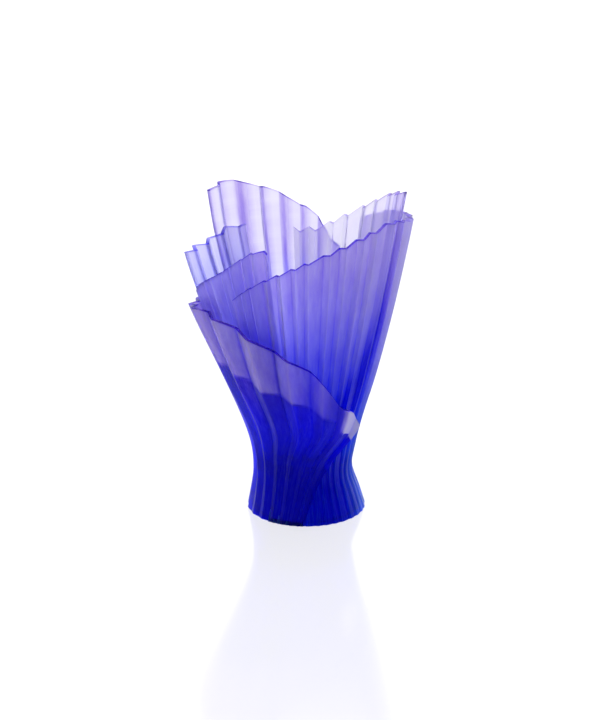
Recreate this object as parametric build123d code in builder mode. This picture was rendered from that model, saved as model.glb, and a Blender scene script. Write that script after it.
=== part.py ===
from build123d import *
import os
from collections import namedtuple
from math import cos, radians, sin

os.makedirs("parts", exist_ok=True)

# A cast-glass vase made of pleated leaves that wrap round a waisted, hollow body and
# are fused to each other and to a thick foot. Millimetres, +Z up. The origin is the
# centre of the foot on the ground. Azimuths are degrees from +X, turning towards +Y,
# so the front of the vase is at 270 and its left side at 180.

# The body is drawn by horizontal sections. For each one:
#   height       above the ground
#   right, left  radius over the pleat crests at azimuth 0 and at azimuth 180
#   wall         radial thickness of a leaf
#   stand_off    how far the outermost leaf stands proud of the main wall
#   step_in      how far an inner leaf lies inside the main wall
#   pleat        share of the full pleat depth
#   wrap_end     azimuth where the outermost leaf ends
#   wrap_gather  gather of that leaf, whose pleats fan out from the front of the foot
Section = namedtuple(
    "Section", "height right left wall stand_off step_in pleat wrap_end wrap_gather"
)
SECTIONS = [
    Section(0, 58.5, 58.5, 11.0, 0.5, 3.0, 0.35, 266, 1.7),
    Section(20, 52.3, 51.5, 9.5, 4.0, 5.0, 0.5, 274, 1.55),
    Section(42, 45.3, 46.0, 8.0, 7.0, 6.0, 0.7, 284, 1.35),
    Section(66, 48.6, 48.0, 7.0, 7.0, 8.0, 0.9, 299, 1.15),
    Section(95, 55.3, 55.0, 6.0, 9.0, 9.0, 1.0, 322, 0.95),
    Section(141, 68.6, 73.0, 5.0, 11.0, 9.5, 1.0, 326, 0.8),
    Section(200, 83.0, 95.0, 4.2, 15.5, 10.0, 1.0, 326, 0.8),
    Section(260, 95.5, 114.5, 4.0, 19.0, 10.0, 1.0, 326, 0.8),
    Section(320, 106.5, 127.0, 4.0, 22.0, 10.0, 1.0, 326, 0.8),
]
ROOT_HEIGHT = 66  # the inner leaves grow out of the foot's glass from here up
CORE_TOP = 56  # floor of the vase's inside
CORE_OVERLAP = 1.5  # how far the foot's glass runs into the leaves round it
FUSED_OVERLAP = 2.0  # how far the wrap's solid part runs into the leaves behind it

# Each leaf is a pleated strip:
#   start, end   azimuths of its free edges
#   facets       flat faces between creases
#   gather       below 1 the facets grow wider from start to end, above 1 narrower
#   widths       relative widths of the facets, repeated along the leaf
#   stepped      True where every other facet is a level land between two steps
#   depth        pleat depth as a share of the radius
#   layers       (azimuth, step) pairs: how many step_in outwards the leaf lies
#   rim          (azimuth, height) pairs along its top edge
#   root         lowest section of the leaf
Leaf = namedtuple("Leaf", "start end facets gather widths stepped depth layers rim root")

FRONT_WRAP = Leaf(
    149, 326, 18, None, (1.7, 1), False, 0.06, None,
    [(142, 204), (175, 209), (204, 219), (226, 214), (251, 191), (275, 165), (296, 127),
     (308, 119), (317, 108), (332, 86)],
    0,
)
FRONT_WRAP_FLOOR = [(142, 170), (180, 163), (219, 156), (240, 144), (265, 132), (289, 112),
                    (311, 92), (332, 68)]
MAIN_DRAPE = Leaf(
    230, 417, 38, 0.586, (2.4, 1, 1.8, 0.8, 3.0, 1.2, 2.0, 1), False, 0.045,
    [(230, 0.35), (250, 0.1), (270, 0), (417, 0)],
    [(224, 230), (238, 250), (252, 265), (281, 288), (305, 303), (320, 308), (338, 302),
     (352, 299), (393, 288), (412, 276), (423, 266)],
    0,
)
LEFT_DRAPE = Leaf(
    188, 249, 18, 1.0, (2.4, 1, 1.7, 0.9), False, 0.04,
    [(188, 0.35), (205, 0.2), (230, -0.6), (249, -1)],
    [(182, 222), (200, 240), (220, 260), (235, 279), (243, 287), (255, 286)],
    ROOT_HEIGHT,
)
LEFT_BACK_FAN = Leaf(
    128, 187, 8, 1.0, (1,), False, 0.06, [(128, -1.15), (150, -1.1), (187, 0.25)],
    [(122, 265), (135, 269), (147, 268), (160, 263), (193, 265)],
    ROOT_HEIGHT,
)
BACK_FAN = Leaf(
    50, 149, 19, 0.7, (1.9, 1), True, 0.08, [(50, 1.1), (62, 1.1), (80, 0.3), (149, 0.1)],
    [(44, 176), (56, 206), (71, 239), (82, 265), (98, 286), (112, 298), (129, 308), (156, 306)],
    0,
)
RIGHT_BACK_FAN = Leaf(
    8, 98, 16, 1.0, (2.2, 1, 1.5, 0.9), False, 0.05, [(8, -0.85), (57, -1.0), (98, -1.15)],
    [(2, 318), (15, 314), (28, 308), (42, 297), (68, 274), (83, 262), (104, 260)],
    ROOT_HEIGHT,
)
RIM_REACH = (12, 175)  # inner and outer radius of the surface that trims a rim
TRIM_HEIGHT = 260  # that surface is swept this far up to clear what is above it


def at(radius, azimuth):
    """The point of a section at a radius and an azimuth."""
    return (radius * cos(radians(azimuth)), radius * sin(radians(azimuth)))


def main_radius(section, azimuth):
    """Radius of the main wall, which leans out further on the left than on the right."""
    leftness = (1 - cos(radians(azimuth))) / 2
    return section.right + (section.left - section.right) * leftness


def between(stations, azimuth):
    """Value at an azimuth on straight lines between (azimuth, value) stations."""
    for (low, low_value), (high, high_value) in zip(stations, stations[1:]):
        if azimuth <= high:
            share = (azimuth - low) / (high - low)
            return low_value + (high_value - low_value) * share
    return stations[-1][1]


def creases(leaf, section):
    """(azimuth, fold) of each crease: fold is 0 on a crest and 1 in a valley."""
    end, gather = leaf.end, leaf.gather
    if leaf is FRONT_WRAP:
        end, gather = section.wrap_end, section.wrap_gather
    widths = [leaf.widths[number % len(leaf.widths)] for number in range(leaf.facets)]
    for number in range(leaf.facets + 1):
        share = sum(widths[:number]) / sum(widths)
        gathered = gather * share + (1 - gather) * share**2
        fold = number // 2 % 2 if leaf.stepped else number % 2
        yield leaf.start + (end - leaf.start) * gathered, fold


def leaf_radius(leaf, section, azimuth):
    """Radius over the crests of a leaf, on its outer side."""
    radius = main_radius(section, azimuth)
    if leaf is FRONT_WRAP:
        return radius + section.stand_off
    return radius + section.step_in * between(leaf.layers, azimuth)


def pleated_outline(leaf, section):
    """Closed zigzag outline of a leaf: along its outer side and back along its inner."""
    outer, inner = [], []
    for azimuth, fold in creases(leaf, section):
        radius = leaf_radius(leaf, section, azimuth)
        radius *= 1 - fold * leaf.depth * section.pleat
        outer.append(at(radius, azimuth))
        inner.append(at(radius - section.wall, azimuth))
    return outer + inner[::-1]


def fused_outline(leaf, section):
    """Outline of the solid glass between the outermost leaf and what it is fused to."""
    outer, inner = [], []
    for azimuth, fold in creases(leaf, section):
        radius = leaf_radius(leaf, section, azimuth)
        radius *= 1 - fold * leaf.depth * section.pleat
        depth = section.wall if section.height <= ROOT_HEIGHT else FUSED_OVERLAP
        outer.append(at(radius - section.wall / 2, azimuth))
        inner.append(at(main_radius(section, azimuth) - depth, azimuth))
    return outer + inner[::-1]


def trimming_face(stations):
    """A radial surface through (azimuth, height) stations round the axis."""
    edges = []
    for radius in RIM_REACH:
        points = [(*at(radius, azimuth), height) for azimuth, height in stations]
        edges.append(Spline(*points))
    return Face.make_surface_from_curves(*edges)


def pleated_leaf(leaf):
    """A pleated leaf, lofted through its sections and trimmed along its rim."""
    with BuildPart() as blade:
        for section in SECTIONS:
            if section.height < leaf.root:
                continue
            with BuildSketch(Plane.XY.offset(section.height)):
                with BuildLine():
                    Polyline(*pleated_outline(leaf, section), close=True)
                make_face()
        loft(ruled=True)
        extrude(trimming_face(leaf.rim), amount=TRIM_HEIGHT, dir=(0, 0, 1), mode=Mode.SUBTRACT)
    return blade


# The outermost leaf: a solid, fused lower part and a free wall that rises from it
with BuildPart() as front_wrap:
    for section in SECTIONS:
        with BuildSketch(Plane.XY.offset(section.height)):
            with BuildLine():
                Polyline(*fused_outline(FRONT_WRAP, section), close=True)
            make_face()
    loft(ruled=True)
    pocket_floor = trimming_face(FRONT_WRAP_FLOOR)
    extrude(pocket_floor, amount=TRIM_HEIGHT, dir=(0, 0, 1), mode=Mode.SUBTRACT)
    add(pleated_leaf(FRONT_WRAP).part)

# The leaves behind it
main_drape = pleated_leaf(MAIN_DRAPE)
left_drape = pleated_leaf(LEFT_DRAPE)
left_back_fan = pleated_leaf(LEFT_BACK_FAN)
back_fan = pleated_leaf(BACK_FAN)
right_back_fan = pleated_leaf(RIGHT_BACK_FAN)

# The thick glass of the foot: its top is the dished floor of the vase's inside
CORE_DISH = 5  # depth of that dish
core_outline = [
    (section.right - section.wall + CORE_OVERLAP, section.height)
    for section in SECTIONS
    if section.height < CORE_TOP
]
core_edge = (core_outline[-1][0], CORE_TOP)
with BuildPart() as foot_core:
    with BuildSketch(Plane.XZ):
        with BuildLine():
            Polyline((0, CORE_TOP - CORE_DISH), (0, 0), *core_outline, core_edge)
            TangentArc((0, CORE_TOP - CORE_DISH), core_edge, tangent=(1, 0))
        make_face()
    revolve(axis=Axis.Z)

pieces = {
    "foot_core": foot_core,
    "front_wrap": front_wrap,
    "main_drape": main_drape,
    "left_drape": left_drape,
    "left_back_fan": left_back_fan,
    "back_fan": back_fan,
    "right_back_fan": right_back_fan,
}
for name, piece in pieces.items():
    piece.part.label = name
    export_step(piece.part, f"parts/{name}.step")
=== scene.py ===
from math import cos, exp, pi, radians, sin, sqrt

import bmesh
import bpy
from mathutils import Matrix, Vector


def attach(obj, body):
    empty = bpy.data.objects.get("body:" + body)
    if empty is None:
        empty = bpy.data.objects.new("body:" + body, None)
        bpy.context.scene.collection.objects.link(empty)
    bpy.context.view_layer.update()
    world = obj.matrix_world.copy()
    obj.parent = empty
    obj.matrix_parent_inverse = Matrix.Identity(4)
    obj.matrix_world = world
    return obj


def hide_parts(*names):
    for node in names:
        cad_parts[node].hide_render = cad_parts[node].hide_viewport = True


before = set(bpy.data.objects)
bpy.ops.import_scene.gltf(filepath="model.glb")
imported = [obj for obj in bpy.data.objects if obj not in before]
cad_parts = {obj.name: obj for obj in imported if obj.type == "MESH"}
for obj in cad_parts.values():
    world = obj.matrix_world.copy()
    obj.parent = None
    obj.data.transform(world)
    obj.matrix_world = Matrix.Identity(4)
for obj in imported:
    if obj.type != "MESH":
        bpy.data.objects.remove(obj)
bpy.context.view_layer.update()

# A cast-glass vase of pleated leaves, fused to each other and to a thick foot. The form is
# worked out in millimetres and degrees, and MM turns it to Blender's metres. Azimuths are
# from +X turning towards +Y: the front is at 270, the left at 180.
MM = 0.001

# ---------------------------------------------------------------- form of the body
# One row for each height above the ground: radius over the crests at azimuth 0 and at 180,
# wall of a leaf, stand-off of the outer wrap from the main wall, step from the main wall to
# an inner leaf, share of the full pleat depth, azimuth where the outer wrap ends, and gather
# of that wrap, whose pleats fan out from the front of the foot.
COLUMNS = (
    "height", "right", "left", "wall", "stand_off", "step_in", "pleat", "wrap_end", "wrap_gather"
)
SECTIONS = [
    (0, 58.5, 58.5, 11.0, 0.5, 3.0, 0.35, 266, 1.7),
    (20, 52.3, 51.5, 9.5, 4.0, 5.0, 0.5, 274, 1.55),
    (42, 45.3, 46.0, 8.0, 7.0, 6.0, 0.7, 284, 1.35),
    (66, 48.6, 48.0, 7.0, 7.0, 8.0, 0.9, 299, 1.15),
    (95, 55.3, 55.0, 6.0, 9.0, 9.0, 1.0, 322, 0.95),
    (141, 68.6, 73.0, 5.0, 11.0, 9.5, 1.0, 326, 0.8),
    (200, 83.0, 95.0, 4.2, 15.5, 10.0, 1.0, 326, 0.8),
    (260, 95.5, 114.5, 4.0, 19.0, 10.0, 1.0, 326, 0.8),
    (320, 106.5, 127.0, 4.0, 22.0, 10.0, 1.0, 326, 0.8),
]
SOLID_HEIGHT = 66.0  # below this the wrap's glass reaches right through the main wall
FUSED_GAP = 0.3  # above it the wrap's solid part ends this far outside the leaf behind it
CORE_TOP = 56.0  # floor of the vase's inside
CORE_DISH = 5.0  # depth of the dish in that floor
CORE_OVERLAP = 1.5  # how far the foot's glass runs into the leaves round it

# Each leaf is a pleated strip:
#   start, end   azimuths of its free edges
#   facets       flat faces between creases, and their relative widths, repeated
#   gather       below 1 the facets widen from start to end, above 1 they narrow
#   stepped      every other facet is a level land between two steps
#   depth        of a pleat, as a share of the radius
#   layers       (azimuth, step) pairs: how many inner steps outwards the leaf lies, or None
#                for the outer wrap, which takes its place, end and gather from the rows above
#   root         height where the leaf begins
#   rim, floor   (azimuth, height) pairs along the top edge and along the pocket's floor
#   sag          how far the rim sags in its valleys or, below 0, on its crests
#   tone         (azimuth, thickness) pairs: how deep the glass looks against a plain wall
#   crest        thickness that the acid has taken off the crests
#   crest        strength of the painted highlight along the crests
LEAVES = {
    "front_wrap": dict(
        start=149, end=326, facets=18, widths=(1.7, 1), gather=None, stepped=False, depth=0.06,
        layers=None, root=0, sag=-1.0,
        rim=[(142, 204), (175, 209), (204, 219), (226, 214), (251, 191), (275, 165),
             (296, 127), (308, 119), (317, 108), (332, 86)],
        floor=[(142, 170), (180, 163), (219, 156), (240, 144), (265, 132), (289, 112),
               (311, 92), (332, 68)],
        tone=[(149, 1.3), (190, 1.2), (208, 1.1), (232, 1.0), (270, 1.3), (326, 1.9)],
        crest=0.1,
    ),
    "main_drape": dict(
        start=230, end=417, facets=38, widths=(2.4, 1, 1.8, 0.8, 3.0, 1.2, 2.0, 1),
        gather=0.586, stepped=False, depth=0.045,
        layers=[(230, 0.35), (250, 0.1), (270, 0), (417, 0)], root=0, sag=-1.2,
        rim=[(224, 230), (238, 250), (252, 265), (281, 288), (305, 303), (320, 308),
             (338, 302), (352, 299), (393, 288), (412, 276), (423, 266)],
        tone=[(230, 0.8), (285, 1.1), (320, 0.75), (345, 0.42), (417, 0.5)],
        crest=0.4,
        streak=([(66, 18.5), (100, 20.0), (150, 21.9), (200, 23.2), (275, 23.6)],
                [(66, 5.0), (100, 3.0), (150, 1.7), (200, 1.3), (275, 0.8)],
                [(66, 0.6), (100, 2.2), (200, 5.0), (260, 3.0), (300, 1.2)]),
    ),
    "left_drape": dict(
        start=188, end=249, facets=18, widths=(2.4, 1, 1.7, 0.9), gather=1.0, stepped=False,
        depth=0.04, layers=[(188, 0.35), (205, 0.2), (230, -0.6), (249, -1)], root=42, sag=-1.5,
        rim=[(182, 222), (200, 240), (220, 260), (235, 279), (243, 287), (255, 286)],
        tone=[(188, 0.95), (249, 1.05)],
        crest=0.4,
    ),
    "left_back_fan": dict(
        start=128, end=187, facets=8, widths=(1,), gather=1.0, stepped=False, depth=0.06,
        layers=[(128, -1.15), (150, -1.1), (187, 0.25)], root=42, sag=1.5,
        rim=[(122, 265), (135, 269), (147, 268), (160, 263), (193, 265)],
        tone=[(128, 0.3), (140, 0.6), (187, 0.85)],
        crest=0.4,
    ),
    "back_fan": dict(
        start=50, end=149, facets=19, widths=(1.9, 1), gather=0.7, stepped=True, depth=0.08,
        layers=[(50, 1.1), (62, 1.1), (80, 0.3), (149, 0.1)], root=0, sag=0.3,
        rim=[(44, 176), (56, 206), (71, 239), (82, 265), (98, 286), (112, 298), (129, 308),
             (156, 306)],
        tone=[(50, 0.35), (105, 0.45), (125, 0.5), (149, 0.45)],
    ),
    "right_back_fan": dict(
        start=8, end=98, facets=16, widths=(2.2, 1, 1.5, 0.9), gather=1.0, stepped=False,
        depth=0.05, layers=[(8, -0.85), (57, -1.0), (98, -1.15)], root=42, sag=3.5,
        rim=[(2, 318), (15, 314), (28, 308), (42, 297), (68, 274), (83, 262), (104, 260)],
        tone=[(8, 1.3), (22, 0.8), (40, 0.4), (98, 0.3)],
        crest=0.4,
    ),
}
EDGE_ROUND = 1.1  # radius of a worn, fire-softened edge, mm
EDGE_BEVEL = 0.3  # that round is drawn as two flats, meeting this share of it from its ends
EDGE_RADIUS = 80  # typical radius of a leaf, for the length of a facet at its free edge, mm
CREASE_ROUND = 0.24  # share of a facet taken up by the round of a crease
CREASE_STEPS = (-0.12, -0.05, 0.0, 0.05, 0.12, 0.5)  # slices at each crease, in facets
SHARP_ANGLE = radians(50)  # anything sharper than this isn't smoothed over
ROWS = 46  # rows of faces up the side of a leaf
FIRST_HEIGHT = 150.0  # where a search for the height of a rim or floor starts, mm
HEIGHT_GUESSES = 12
CROWN_POINTS = 4  # points of a slice over the top of its rim
POCKET_DEPTH = 8  # least height of the wrap's free wall over its floor, mm
FLOOR_DIP = 4.5  # the pocket's floor sags this far under each crest, mm

# How thick the glass looks against a plain wall's, with painted highlights and painted shade drawn
# in as thinner or thicker glass. Reaches are in facets.
CREST_TONE = 0.9  # tint on a crest, painted a little lighter than a plain wall's
VALLEY_SHADE_RISE = 0.25  # painted shade: more than that towards a valley
CREST_HIGHLIGHT_REACH = 0.09  # painted highlight this near a crest
VALLEY_SHADE_REACH = 0.13  # painted shade this near a valley
VALLEY_SHADE_GAIN = 0.6  # deepening the tint by this much
STEP_SHADE_GAIN = 6.0  # painted shade in the steps between the lands of a stepped leaf
LAND_SHADE_REACH = 0.55  # share of a land whose painted shade deepens towards the step after it
LAND_SHADE_SHARE = 0.35  # and how much of the step's painted shade it has there
RIM_GAIN = 6.0  # a rim is seen edge on, so it looks this much deeper
EDGE_GAIN = 2.0  # and so is a free edge
EDGE_REACH = 0.1  # which counts as this wide
FUSED_GAIN = 4.3  # the wrap's solid part against its free wall
FUSED_SIDE_LIGHT = 0.35  # painted light: the narrow sides of its pleats are drawn lighter by this share
SIDE_HEIGHT = 60  # from this height up, and less below it, mm
FUSED_CREST_HIGHLIGHT = 0.55  # and its crests, as a painted highlight
FUSED_UNEVEN = 0.35  # it varies this much from one facet to the next
UNEVEN_TURN = 2.4  # by the sine of this angle times the facet's number
FUSED_FADE = 5.0  # height over which the solid part thins into the free wall, mm
FREE_END = (15.7, 0.4)  # the wrap stands free past this facet and is painted pale there as a highlight, after a short blend
FREE_HEIGHT = (68, 12)  # and above this height, mm
FREE_END_HIGHLIGHT = 0.84  # share of its tint taken off there by that painted highlight


def clamp(value):
    """The value, kept between 0 and 1."""
    return min(1.0, max(0.0, value))


def smooth_line(stations, x):
    """Value at x of a smooth line through (x, value) stations."""
    if x <= stations[0][0]:
        return stations[0][1]
    if x >= stations[-1][0]:
        return stations[-1][1]
    k = max(i for i in range(len(stations) - 1) if stations[i][0] <= x)

    def slope(i):
        low, high = stations[max(i - 1, 0)], stations[min(i + 1, len(stations) - 1)]
        return (high[1] - low[1]) / (high[0] - low[0])

    width = stations[k + 1][0] - stations[k][0]
    t = (x - stations[k][0]) / width
    return (
        (2 * t**3 - 3 * t**2 + 1) * stations[k][1]
        + (t**3 - 2 * t**2 + t) * width * slope(k)
        + (-2 * t**3 + 3 * t**2) * stations[k + 1][1]
        + (t**3 - t**2) * width * slope(k + 1)
    )


def column(name, height):
    """One column of the body's rows at any height."""
    index = COLUMNS.index(name)
    return smooth_line([(row[0], row[index]) for row in SECTIONS], height)


def main_radius(height, azimuth):
    """Radius of the main wall, which leans out further on the left than on the right."""
    leftness = (1 - cos(radians(azimuth))) / 2
    right, left = column("right", height), column("left", height)
    return right + (left - right) * leftness


def leaf_radius(leaf, height, azimuth):
    """Radius over the crests of a leaf, on its outer side."""
    radius = main_radius(height, azimuth)
    if leaf["layers"] is None:
        return radius + column("stand_off", height)
    return radius + column("step_in", height) * smooth_line(leaf["layers"], azimuth)


def crease_azimuth(leaf, facet, height):
    """Azimuth at a place along the leaf, counted in facets from its start."""
    whole = min(int(facet), leaf["facets"] - 1)
    widths = [leaf["widths"][i % len(leaf["widths"])] for i in range(leaf["facets"])]
    share = (sum(widths[:whole]) + widths[whole] * (facet - whole)) / sum(widths)
    end, gather = leaf["end"], leaf["gather"]
    if leaf["layers"] is None:
        end, gather = column("wrap_end", height), column("wrap_gather", height)
    gathered = gather * share + (1 - gather) * share**2
    return leaf["start"] + (end - leaf["start"]) * gathered


def fold_phase(leaf, facet):
    """Even on a crest, odd in a valley; it stands still across a level land."""
    if not leaf["stepped"]:
        return facet
    whole = int(facet)
    return (whole + 1) // 2 + (facet - whole if whole % 2 else 0.0) - (whole % 2)


def fold_at(leaf, facet):
    """0 on a crest, 1 in a valley."""
    turned = fold_phase(leaf, facet) % 2
    return min(turned, 2 - turned)


def height_on(leaf, facet, stations):
    """Height where a slice of the leaf meets a line of (azimuth, height) stations. A slice's
    azimuth depends on its height, so each guess at the height betters the next."""
    height = FIRST_HEIGHT
    for _ in range(HEIGHT_GUESSES):
        height = smooth_line(stations, crease_azimuth(leaf, facet, height))
    return height


def pleat_painted_light(leaf, facet):
    """Painted light across one pleat, drawn as thickness: a painted highlight on the crests,
    painted shade in the valleys, and in a stepped leaf painted shade in the steps.
    """
    fold = fold_at(leaf, facet)
    if leaf["stepped"]:
        whole = int(facet)
        # painted shade in each step, spreading back over the end of the land before it
        step_shade = max(0.0, 1 - (1 - (facet - whole)) / LAND_SHADE_REACH) if whole % 2 == 0 else 1.0
        return 1 + STEP_SHADE_GAIN * max(LAND_SHADE_SHARE * step_shade**2, 1 - abs(2 * fold - 1))
    # painted highlight along a crest, painted shade in a valley
    crest = max(0.0, 1 - fold / CREST_HIGHLIGHT_REACH)
    valley = max(0.0, 1 - (1 - fold) / VALLEY_SHADE_REACH)
    wall = CREST_TONE + VALLEY_SHADE_RISE * fold
    return wall - leaf["crest"] * crest + VALLEY_SHADE_GAIN * valley


def fused_thickness_and_light(leaf, facet, height):
    """Thickness where the wrap is fused to what is behind it, drawn lighter on the narrow sides of
    its pleats and on its crests as painted light, and darker in its valleys as painted shade.
    """
    fold = fold_at(leaf, facet)
    crest = max(0.0, 1 - fold / CREST_HIGHLIGHT_REACH)
    valley = max(0.0, 1 - (1 - fold) / VALLEY_SHADE_REACH)
    uneven = 1 + FUSED_UNEVEN * sin(int(facet) * UNEVEN_TURN)
    # painted light on the narrow sides of the pleats and on the crests, painted shade in the
    # valleys
    side = FUSED_SIDE_LIGHT * (int(facet) % 2) * clamp(height / SIDE_HEIGHT)
    return FUSED_GAIN * uneven * (1 - side) * (1 - FUSED_CREST_HIGHLIGHT * crest + VALLEY_SHADE_GAIN * valley)


def thickness_and_painted_light(leaf, facet, height, azimuth, floor):
    """Thickness that the glass shows at a place on the leaf, with painted highlights and painted
    shade drawn in. Floor is None or the height below which the leaf is solid."""
    thickness = pleat_painted_light(leaf, facet) * smooth_line(leaf["tone"], azimuth)
    if min(facet, leaf["facets"] - facet) < EDGE_REACH:
        thickness *= EDGE_GAIN
    if "streak" in leaf:
        centre, reach, gain = (smooth_line(line, height) for line in leaf["streak"])
        thickness *= 1 + gain * exp(-(((facet - centre) / reach) ** 2))
    if floor is None:
        return thickness
    solid = fused_thickness_and_light(leaf, facet, height)
    above = height - floor
    if above <= 0:
        return solid
    # painted highlight: past FREE_END and above FREE_HEIGHT the wrap's free end is drawn pale
    end = clamp((facet - FREE_END[0]) / FREE_END[1])
    end *= clamp((height - FREE_HEIGHT[0]) / FREE_HEIGHT[1])
    free = thickness * (1 - end * FREE_END_HIGHLIGHT)
    return free + (solid - free) * (1 - end) * clamp(1 - above / FUSED_FADE) ** 2


def slice_places(leaf):
    """Where the leaf is sliced, counted in facets: close together round each crease."""
    places = {0.0, float(leaf["facets"])}
    for crease in range(leaf["facets"] + 1):
        places.update(crease + step for step in CREASE_STEPS)
    return sorted(p for p in places if 0 <= p <= leaf["facets"])


def slice_rows(low, high, count):
    """Evenly spaced values from low to high."""
    return [low + (high - low) * i / count for i in range(count + 1)]


def leaf_slice(leaf, facet):
    """One closed loop of (radius, height, azimuth, pleat depth, thickness with painted light) up
    the outer side and down the inner side of a leaf. Depth is how far a valley lies inside a crest."""
    fold = fold_at(leaf, facet)
    rim = height_on(leaf, facet, leaf["rim"]) - max(leaf["sag"] * fold, leaf["sag"] * (fold - 1))
    span = leaf["facets"]
    edge = min(facet, span - facet)
    arc = radians(leaf["end"] - leaf["start"]) / span * EDGE_RADIUS
    gap = min(edge * arc / EDGE_ROUND, 1.0)
    inset = EDGE_ROUND * (1 - sqrt(1 - (1 - gap) ** 2))
    floor = height_on(leaf, facet, leaf["floor"]) if "floor" in leaf else None
    if floor is not None:
        floor = min(floor - FLOOR_DIP * (1 - fold), rim - POCKET_DEPTH)
        heights = slice_rows(leaf["root"], floor, ROWS // 2)
        heights += slice_rows(floor, rim - EDGE_ROUND, ROWS // 2)[1:]
    else:
        heights = slice_rows(leaf["root"], rim - EDGE_ROUND, ROWS)
    heights[0] = leaf["root"]

    def point(height, inward, fused=False):
        azimuth = crease_azimuth(leaf, facet, height)
        radius = leaf_radius(leaf, height, azimuth)
        depth = radius * leaf["depth"] * column("pleat", height)
        thickness = thickness_and_painted_light(leaf, facet, height, azimuth, floor)
        if fused:
            solid = column("wall", height) if height < SOLID_HEIGHT else -FUSED_GAP
            return (main_radius(height, azimuth) - solid, height, azimuth, 0.0, thickness)
        return (radius - inward, height, azimuth, depth, thickness)

    def rim_point(drop, inward):
        *place, thickness = point(rim - drop, inward)
        return (*place, thickness * RIM_GAIN)

    outer = [point(h, inset) for h in heights]
    walls = [column("wall", h) for h in heights]
    top_wall = column("wall", rim)
    shoulder = EDGE_BEVEL * EDGE_ROUND
    crown = [
        rim_point(shoulder, max(shoulder, inset)),
        rim_point(0, max(EDGE_ROUND, inset)),
        rim_point(0, top_wall - max(EDGE_ROUND, inset)),
        rim_point(shoulder, top_wall - max(shoulder, inset)),
    ]
    floor_row = None if floor is None else ROWS // 2
    inner = []
    for row in reversed(range(len(heights))):
        if floor_row is None or row >= floor_row:
            inner.append(point(heights[row], walls[row] - inset))
        if floor_row is not None and row <= floor_row:
            inner.append(point(heights[row], 0, fused=True))
    return outer + crown + inner, floor_row


def leaf_mesh(name, leaf):
    """A leaf as one closed shell, carrying what the pleats need on its points."""
    places = slice_places(leaf)
    mesh = bpy.data.meshes.new(name)
    bm = bmesh.new()
    facet_layer = bm.verts.layers.float.new("facet")
    depth_layer = bm.verts.layers.float.new("pleat_depth")
    thickness_layer = bm.verts.layers.float.new("thickness_and_painted_light")
    rings = []
    for facet in places:
        loop, floor_row = leaf_slice(leaf, facet)
        ring = []
        for radius, height, azimuth, depth, thickness in loop:
            angle = radians(azimuth)
            place = Vector((radius * cos(angle), radius * sin(angle), height)) * MM
            vert = bm.verts.new(place)
            vert[facet_layer] = fold_phase(leaf, facet)
            vert[depth_layer] = depth * MM
            vert[thickness_layer] = thickness
            ring.append(vert)
        rings.append(ring)
    for first, second in zip(rings, rings[1:]):
        for k in range(len(first)):
            n = (k + 1) % len(first)
            bm.faces.new((first[k], second[k], second[n], first[n]))
    for ring, turn in ((rings[0], 1), (rings[-1], -1)):
        for corners in cap_faces(len(ring), floor_row):
            bm.faces.new([ring[k] for k in corners][::turn])
    bmesh.ops.recalc_face_normals(bm, faces=bm.faces)
    bm.to_mesh(mesh)
    bm.free()
    return mesh


def cap_faces(size, floor_row):
    """Corners of the faces that close a free edge, rung by rung from the root to the rim. A
    leaf with a pocket has two inner points in the row of the pocket's floor."""
    split = floor_row is not None
    doubled = 1 if split else 0
    rows = (size - CROWN_POINTS - doubled) // 2
    faces = []

    def inner(row, fused):
        return size - 1 - row - (0 if fused else doubled)

    for row in range(rows - 1):
        fused = split and row < floor_row
        corners = [row, row + 1, inner(row + 1, fused), inner(row, fused)]
        if fused and row + 1 == floor_row:
            corners = [row, row + 1, inner(row + 1, False), inner(row + 1, True), inner(row, True)]
        faces.append(corners)
    faces.append(list(range(rows - 1, rows + CROWN_POINTS + 1)))
    return faces


def add_node(tree, kind, inputs=(), links=(), **settings):
    """A node with its settings, values {input: value} and links {input: output socket}."""
    made = tree.nodes.new(kind)
    for key, value in settings.items():
        setattr(made, key, value)
    for key, value in dict(inputs).items():
        made.inputs[key].default_value = value
    for key, socket in dict(links).items():
        tree.links.new(socket, made.inputs[key])
    return made


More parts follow.
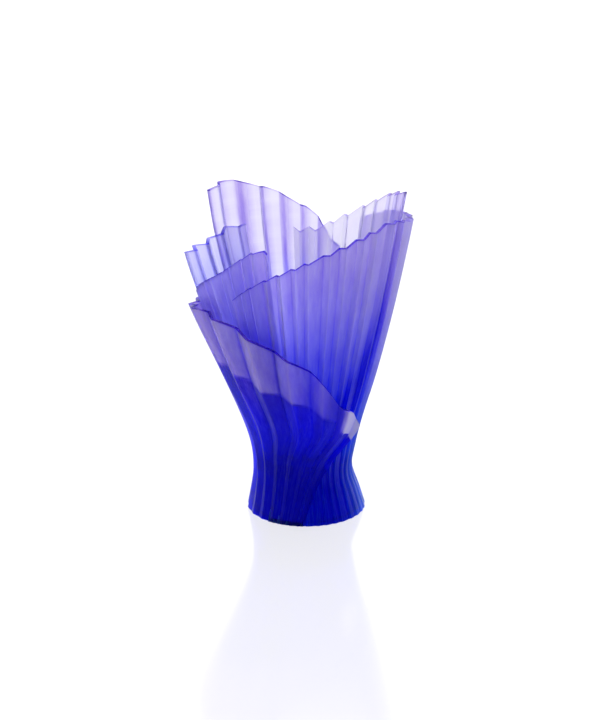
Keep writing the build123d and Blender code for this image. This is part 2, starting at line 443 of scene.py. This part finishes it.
def pleating_tree():
    """Folds a smooth leaf into pleats: valleys go in, towards the axis, by each point's
    own pleat depth, and both kinds of crease are rounded as fire-softened glass is."""
    tree = bpy.data.node_groups.new("pleating", "GeometryNodeTree")
    sockets = tree.interface
    sockets.new_socket("Leaf", in_out="INPUT", socket_type="NodeSocketGeometry")
    sockets.new_socket("Crease round", in_out="INPUT", socket_type="NodeSocketFloat")
    sockets.new_socket("Depth scale", in_out="INPUT", socket_type="NodeSocketFloat")
    sockets.new_socket("Glass", in_out="INPUT", socket_type="NodeSocketMaterial")
    sockets.new_socket("Pleated leaf", in_out="OUTPUT", socket_type="NodeSocketGeometry")
    start = add_node(tree, "NodeGroupInput")
    facet = add_node(
        tree, "GeometryNodeInputNamedAttribute", {"Name": "facet"}, data_type="FLOAT"
    )
    depth = add_node(
        tree, "GeometryNodeInputNamedAttribute", {"Name": "pleat_depth"}, data_type="FLOAT"
    )
    # 0 on a crest and 1 in a valley, with each of the two corners rounded by a smooth maximum
    fold = add_node(tree, "ShaderNodeMath", {1: 1.0}, {0: facet.outputs[0]}, operation="PINGPONG")
    below = add_node(tree, "ShaderNodeMath", {1: -1.0}, {0: fold.outputs[0]}, operation="MULTIPLY")
    crest = add_node(
        tree, "ShaderNodeMath", {},
        {0: fold.outputs[0], 1: below.outputs[0], 2: start.outputs["Crease round"]},
        operation="SMOOTH_MAX",
    )
    rest = add_node(tree, "ShaderNodeMath", {0: 1.0}, {1: fold.outputs[0]}, operation="SUBTRACT")
    above = add_node(tree, "ShaderNodeMath", {1: -1.0}, {0: rest.outputs[0]}, operation="MULTIPLY")
    valley = add_node(
        tree, "ShaderNodeMath", {},
        {0: rest.outputs[0], 1: above.outputs[0], 2: start.outputs["Crease round"]},
        operation="SMOOTH_MAX",
    )
    # how far in each point goes, as a share of its pleat's depth and then in metres
    filled = add_node(
        tree, "ShaderNodeMath", {}, {0: valley.outputs[0], 1: rest.outputs[0]}, operation="SUBTRACT"
    )
    folded = add_node(
        tree, "ShaderNodeMath", {}, {0: crest.outputs[0], 1: filled.outputs[0]},
        operation="SUBTRACT",
    )
    inward = add_node(
        tree, "ShaderNodeMath", {}, {0: folded.outputs[0], 1: depth.outputs[0]},
        operation="MULTIPLY",
    )
    scaled = add_node(
        tree, "ShaderNodeMath", {}, {0: inward.outputs[0], 1: start.outputs["Depth scale"]},
        operation="MULTIPLY",
    )
    place = add_node(tree, "GeometryNodeInputPosition")
    flat = add_node(
        tree, "ShaderNodeVectorMath", {1: (-1, -1, 0)}, {0: place.outputs[0]},
        operation="MULTIPLY",
    )
    towards_axis = add_node(
        tree, "ShaderNodeVectorMath", {}, {0: flat.outputs[0]}, operation="NORMALIZE"
    )
    offset = add_node(
        tree, "ShaderNodeVectorMath", {}, {0: towards_axis.outputs[0], "Scale": scaled.outputs[0]},
        operation="SCALE",
    )
    moved = add_node(
        tree, "GeometryNodeSetPosition", {},
        {"Geometry": start.outputs["Leaf"], "Offset": offset.outputs[0]},
    )
    real = add_node(tree, "GeometryNodeRealizeInstances", {}, {"Geometry": moved.outputs[0]})
    glass = add_node(
        tree, "GeometryNodeSetMaterial", {},
        {"Geometry": real.outputs[0], "Material": start.outputs["Glass"]},
    )
    add_node(tree, "NodeGroupOutput", {}, {"Pleated leaf": glass.outputs[0]})
    return tree


def finished_mesh(source, modifier_inputs, tree, name):
    """The plain mesh that a modifier tree makes of a source mesh."""
    carrier = bpy.data.objects.new(name + "_source", source)
    bpy.context.scene.collection.objects.link(carrier)
    modifier = carrier.modifiers.new("shape", "NODES")
    modifier.node_group = tree
    for item in tree.interface.items_tree:
        if item.item_type == "SOCKET" and item.name in modifier_inputs:
            modifier[item.identifier] = modifier_inputs[item.name]
    evaluated = carrier.evaluated_get(bpy.context.evaluated_depsgraph_get())
    mesh = bpy.data.meshes.new_from_object(evaluated)
    bpy.data.objects.remove(carrier)
    return mesh


def linear(hex_colour):
    """An sRGB hex colour as linear red, green, blue and alpha."""
    channels = [int(hex_colour[i:i + 2], 16) / 255 for i in (1, 3, 5)]
    return (*(c / 12.92 if c <= 0.04045 else ((c + 0.055) / 1.055) ** 2.4 for c in channels), 1.0)


STREAK_RATE = 14.0  # the streaks' noise runs this fast up the glass, per m, and 1 per facet
STREAK_NOISE = {"Scale": 1.9, "Detail": 6.0, "Roughness": 0.75}
STREAK_DRIFT = 0.07  # the bands of colour wander up and down within this height, m
TINT_HEIGHT = 0.32  # the last tint of a glass is its colour at this height, m
UNEVEN_COLOUR = {"From Min": 0.3, "From Max": 0.7, "To Min": 0.45, "To Max": 1.55}
SATIN = {"From Min": 0.35, "From Max": 0.65, "To Min": 0.3, "To Max": 0.42}
PATCH_NOISE = {"Scale": 45.0, "Detail": 4.0}
RIPPLE_NOISE = {"Scale": 30.0, "Detail": 0.0}
RIPPLE_HEIGHT = {"Strength": 0.05, "Distance": 0.0008}
SATIN_SKIN = {"IOR": 1.18, "Specular IOR Level": 0.05, "Specular Tint": linear("#a8a0ff")}


def cast_crystal(name, tints, absorbed, density, clear):
    """Lead crystal cast by lost wax and satined with acid. The mould's wax leaves a soft
    ripple. The acid leaves a matt skin that scatters light rather than mirroring it, hence
    the low index. The colour deepens with the thickness of the glass, and with the painted
    shade and painted highlights that are drawn in as thickness.

    tints is (share of TINT_HEIGHT, colour) pairs of a plain wall. clear is two thicknesses
    and the share of light that goes through the glass at each."""
    material = bpy.data.materials.new(name)
    material.use_nodes = True
    tree = material.node_tree
    tree.nodes.clear()
    place = add_node(tree, "ShaderNodeTexCoord")
    axes = add_node(tree, "ShaderNodeSeparateXYZ", {}, {0: place.outputs["Object"]})
    # colour drawn out in long upright streaks, as powdered glass melts down a pleat
    facet = add_node(tree, "ShaderNodeAttribute", attribute_name="facet")
    along = add_node(
        tree, "ShaderNodeMath", {1: STREAK_RATE}, {0: axes.outputs[2]}, operation="MULTIPLY"
    )
    drawn = add_node(
        tree, "ShaderNodeCombineXYZ", {}, {0: facet.outputs["Fac"], 1: along.outputs[0]}
    )
    streaks = add_node(tree, "ShaderNodeTexNoise", STREAK_NOISE, {"Vector": drawn.outputs[0]})
    drift = add_node(
        tree, "ShaderNodeMath", {1: STREAK_DRIFT, 2: -STREAK_DRIFT / 2}, {0: streaks.outputs[0]},
        operation="MULTIPLY_ADD",
    )
    height = add_node(
        tree, "ShaderNodeMath", {}, {0: axes.outputs[2], 1: drift.outputs[0]}, operation="ADD"
    )
    share = add_node(
        tree, "ShaderNodeMapRange", {"From Min": 0.0, "From Max": TINT_HEIGHT},
        {"Value": height.outputs[0]},
    )
    ramp = add_node(tree, "ShaderNodeValToRGB", {}, {0: share.outputs[0]})
    stops = ramp.color_ramp.elements
    while len(stops) < len(tints):
        stops.new(0.5)
    for stop, (position, colour) in zip(stops, tints):
        stop.position = position
        stop.color = linear(colour)
    # the tint of a plain wall deepens with the thickness of the glass at each place, and with the
    # painted shade and highlights carried on the same attribute
    thickness = add_node(tree, "ShaderNodeAttribute", attribute_name="thickness_and_painted_light")
    uneven = add_node(tree, "ShaderNodeMapRange", UNEVEN_COLOUR, {"Value": streaks.outputs[0]})
    gathered = add_node(
        tree, "ShaderNodeMath", {}, {0: thickness.outputs["Fac"], 1: uneven.outputs[0]},
        operation="MULTIPLY",
    )
    tint = add_node(
        tree, "ShaderNodeGamma", {}, {"Color": ramp.outputs[0], "Gamma": gathered.outputs[0]}
    )
    # a thin wall is milky, and thick glass glows with the light inside it; the painted highlights,
    # drawn as thin glass, turn milky as well
    clearness = add_node(
        tree, "ShaderNodeMapRange",
        {"From Min": clear[0], "From Max": clear[1], "To Min": clear[2], "To Max": clear[3]},
        {"Value": thickness.outputs["Fac"]},
    )
    # satin: patches about 20 mm across are a little more or less matt
    patches = add_node(
        tree, "ShaderNodeTexNoise", PATCH_NOISE, {"Vector": place.outputs["Object"]}
    )
    matt = add_node(tree, "ShaderNodeMapRange", SATIN, {"Value": patches.outputs[0]})
    # ripple of the wax, about 30 mm long
    ripple = add_node(
        tree, "ShaderNodeTexNoise", RIPPLE_NOISE, {"Vector": place.outputs["Object"]}
    )
    waves = add_node(tree, "ShaderNodeBump", RIPPLE_HEIGHT, {"Height": ripple.outputs[0]})
    surface = add_node(
        tree, "ShaderNodeBsdfPrincipled", SATIN_SKIN,
        {"Base Color": tint.outputs[0], "Roughness": matt.outputs[0], "Normal": waves.outputs[0],
         "Transmission Weight": clearness.outputs[0]},
    )
    depth = add_node(
        tree, "ShaderNodeVolumeAbsorption", {"Color": linear(absorbed), "Density": density}
    )
    add_node(
        tree, "ShaderNodeOutputMaterial", {},
        {"Surface": surface.outputs[0], "Volume": depth.outputs[0]},
    )
    return material


def add_piece(name, mesh, node):
    """One piece of the vase, in place of the CAD node that it replaces."""
    piece = bpy.data.objects.new(name, mesh)
    bpy.context.scene.collection.objects.link(piece)
    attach(piece, "root")
    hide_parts(node)
    return piece


# ---------------------------------------------------------------- glass
# The foot's glass: cobalt-blue lead crystal, cast as one thick lump and satined with acid. It
# swallows most of the light, so it looks an even, deep ultramarine.
COBALT = cast_crystal(
    "cobalt_cast_crystal", [(0.0, "#1c38ff"), (0.25, "#2440ff")], "#2018e8", 60.0,
    (0.2, 0.5, 0.55, 0.93),
)
# The outer wrap's glass: powdered lead crystal, cobalt below and mauve above, that ran
# together as it was cast, and was satined with acid. Its fused part is thick, so it looks dark
# and inky, and its free wall looks a smoky mauve.
MAUVE = cast_crystal(
    "mauve_cast_crystal",
    [(0.0, "#5870fa"), (0.2, "#7478fd"), (0.32, "#b0a4fc"), (0.45, "#d2c2f8"), (0.65, "#d2c2f4")],
    "#5840fa", 25.0, (0.1, 1.6, 0.45, 0.95),
)
# The drapes' glass: powdered lead crystal that goes from cobalt to violet as it was laid up
# the mould, cast and satined with acid. It looks vivid blue low down and a soft violet along
# the rims, with long upright streaks.
VIOLET = cast_crystal(
    "violet_cast_crystal",
    [(0.0, "#1440f4"), (0.18, "#184cf8"), (0.30, "#2c58f6"), (0.42, "#6a72f5"),
     (0.55, "#a29ef8"), (0.70, "#cec4fa"), (0.85, "#d8ccfa"), (1.0, "#dcd0fa")],
    "#5840ff", 25.0, (0.2, 0.6, 0.55, 0.86),
)
# The glass of the fans at the back: lead crystal with a trace of colour, cast thin and
# satined with acid. The light behind it makes it look a milky lavender, and each step is
# drawn deeper with painted shade.
LAVENDER = cast_crystal(
    "lavender_cast_crystal",
    [(0.0, "#1c3cff"), (0.2, "#3a54ff"), (0.3, "#6478ff"), (0.45, "#9a9cff"), (0.6, "#c4c0ff"),
     (0.75, "#dad2f8"), (0.95, "#e4dcf8")],
    "#6c58ff", 25.0, (0.2, 0.4, 0.8, 0.9),
)
# The left fan's glass: the same, cast and satined alike, with a little more blue in it, so
# that it looks periwinkle between the violet drapes and the pale back.
PERIWINKLE = cast_crystal(
    "periwinkle_cast_crystal",
    [(0.0, "#1c3cff"), (0.2, "#3a54ff"), (0.3, "#6478ff"), (0.45, "#8288ff"), (0.6, "#a4a8ff"),
     (0.72, "#bcbeff"), (0.85, "#dcd8fe")],
    "#6c58ff", 25.0, (0.2, 0.4, 0.8, 0.9),
)
GLASS_OF = {
    "front_wrap": (MAUVE, "violet_cobalt_glass"),
    "main_drape": (VIOLET, "violet_cobalt_glass"),
    "left_drape": (VIOLET, "violet_cobalt_glass"),
    "left_back_fan": (PERIWINKLE, "pale_lavender_glass"),
    "back_fan": (LAVENDER, "pale_lavender_glass"),
    "right_back_fan": (LAVENDER, "pale_lavender_glass"),
}

# ---------------------------------------------------------------- leaves
pleating = pleating_tree()
for name, leaf in LEAVES.items():
    glass, slot = GLASS_OF[name]
    inputs = {"Crease round": CREASE_ROUND, "Depth scale": 1.0, "Glass": glass}
    mesh = finished_mesh(leaf_mesh(name, leaf), inputs, pleating, name)
    mesh.shade_smooth()
    mesh.set_sharp_from_angle(angle=SHARP_ANGLE)
    add_piece(name + "_leaf", mesh, name)


# ---------------------------------------------------------------- foot
CORE_ROWS = 16  # rows of faces up the side of the foot's glass
DISH_ROWS = 9  # and from the brim of its dish to the axis
CORE_FACES = 96  # faces round it


def core_profile():
    """Outline of the foot's glass from the axis below, up its side, to the axis above."""
    outline = [(0.0, 0.0)]
    for height in slice_rows(0.0, CORE_TOP - EDGE_ROUND, CORE_ROWS):
        radius = column("right", height) - column("wall", height) + CORE_OVERLAP
        outline.append((radius, height))
    brim = outline[-1][0]
    outline.append((brim - EDGE_ROUND, CORE_TOP))
    for step in range(1, DISH_ROWS):
        radius = (brim - EDGE_ROUND) * (1 - step / DISH_ROWS)
        dish = CORE_DISH * (1 - (radius / brim) ** 2)
        outline.append((radius, CORE_TOP - dish))
    outline.append((0.0, CORE_TOP - CORE_DISH))
    return outline


def revolved(outline, steps, name):
    """A closed shell turned round the axis from (radius, height) pairs, in plain glass."""
    bm = bmesh.new()
    turns = [2 * pi * i / steps for i in range(steps)]
    rings = []
    for radius, height in outline:
        if radius == 0:
            rings.append([bm.verts.new((0, 0, height * MM))] * steps)
            continue
        places = [(radius * cos(a) * MM, radius * sin(a) * MM, height * MM) for a in turns]
        rings.append([bm.verts.new(place) for place in places])
    for low, high in zip(rings, rings[1:]):
        for i in range(steps):
            j = (i + 1) % steps
            corners = []
            for vert in (low[i], low[j], high[j], high[i]):
                if vert not in corners:
                    corners.append(vert)
            bm.faces.new(corners)
    bmesh.ops.recalc_face_normals(bm, faces=bm.faces)
    mesh = bpy.data.meshes.new(name)
    bm.to_mesh(mesh)
    bm.free()
    plain = mesh.attributes.new("thickness_and_painted_light", "FLOAT", "POINT")
    plain.data.foreach_set("value", [1.0] * len(mesh.vertices))
    return mesh


core_mesh = revolved(core_profile(), CORE_FACES, "foot_core")
core_mesh.materials.append(COBALT)
core_mesh.shade_smooth()
core_mesh.set_sharp_from_angle(angle=SHARP_ANGLE)
add_piece("foot_core_glass", core_mesh, "foot_core")

# ---------------------------------------------------------------- floor, light and camera
FLOOR_REACH = 14.0
FLOOR_GAP = 0.0003  # under the foot, so the two don't share a surface

# The floor: white acrylic sheet, cast between plates of polished glass, so that it is flat and
# glossy. It mirrors the foot faintly, and the studio's light inside it makes it glow.
floor_material = bpy.data.materials.new("white_acrylic_sheet")
floor_material.use_nodes = True
acrylic = floor_material.node_tree.nodes["Principled BSDF"].inputs
acrylic["Base Color"].default_value = linear("#707072")
acrylic["Roughness"].default_value = 0.12
acrylic["IOR"].default_value = 2.1
acrylic["Emission Color"].default_value = (1, 1, 1, 1)
acrylic["Emission Strength"].default_value = 0.72
corners = [(-FLOOR_REACH, -FLOOR_REACH), (FLOOR_REACH, -FLOOR_REACH),
           (FLOOR_REACH, FLOOR_REACH), (-FLOOR_REACH, FLOOR_REACH)]
floor_mesh = bpy.data.meshes.new("floor")
floor_mesh.from_pydata([(x, y, -FLOOR_GAP) for x, y in corners], [], [(0, 1, 2, 3)])
floor_mesh.materials.append(floor_material)
floor = bpy.data.objects.new("floor", floor_mesh)
bpy.context.scene.collection.objects.link(floor)

# A white studio, bright behind the vase and dim behind the camera
WALL_LIGHT = {"From Min": -0.5, "From Max": 0.3, "To Min": 0.12, "To Max": 1.0}
world = bpy.data.worlds.new("studio")
bpy.context.scene.world = world
world.use_nodes = True
sky = world.node_tree
sky.nodes.clear()
heading = add_node(sky, "ShaderNodeTexCoord")
parts = add_node(sky, "ShaderNodeSeparateXYZ", {}, {0: heading.outputs["Generated"]})
level = add_node(
    sky, "ShaderNodeMapRange", WALL_LIGHT, {"Value": parts.outputs[1]},
    interpolation_type="SMOOTHSTEP",
)
light = add_node(
    sky, "ShaderNodeBackground", {"Color": (1, 1, 1, 1)}, {"Strength": level.outputs[0]}
)
add_node(sky, "ShaderNodeOutputWorld", {}, {"Surface": light.outputs[0]})

# A large softbox overhead, a little behind the vase
SOFTBOX_PLACE = Vector((0.0, 0.6, 3.0))
SOFTBOX_AIM = Vector((0.0, 0.0, 0.15))
SOFTBOX_SIZE = 4.5
SOFTBOX_POWER = 130
lamp = bpy.data.lights.new("overhead_softbox", "AREA")
lamp.shape = "RECTANGLE"
lamp.size = SOFTBOX_SIZE
lamp.size_y = SOFTBOX_SIZE
lamp.energy = SOFTBOX_POWER
softbox = bpy.data.objects.new("overhead_softbox", lamp)
bpy.context.scene.collection.objects.link(softbox)
softbox.location = SOFTBOX_PLACE
softbox.rotation_euler = (SOFTBOX_AIM - SOFTBOX_PLACE).to_track_quat("-Z", "Y").to_euler()

CAMERA_AIM = Vector((-0.0065, 0.0, 0.151))
CAMERA_PLACE = Vector((-0.0065, -1.9, 0.806))
FOCAL_LENGTH = 103.2  # mm
SENSOR_WIDTH = 36  # mm
lens = bpy.data.cameras.new("camera")
lens.sensor_width = SENSOR_WIDTH
lens.lens = FOCAL_LENGTH
camera = bpy.data.objects.new("camera", lens)
bpy.context.scene.collection.objects.link(camera)
camera.location = CAMERA_PLACE
camera.rotation_euler = (CAMERA_AIM - CAMERA_PLACE).to_track_quat("-Z", "Y").to_euler()
bpy.context.scene.camera = camera

LIGHT_BOUNCES = 24  # enough for light to get through all the walls of glass
bpy.context.scene.view_settings.view_transform = "Standard"
bpy.context.scene.cycles.max_bounces = LIGHT_BOUNCES
bpy.context.scene.cycles.transmission_bounces = LIGHT_BOUNCES
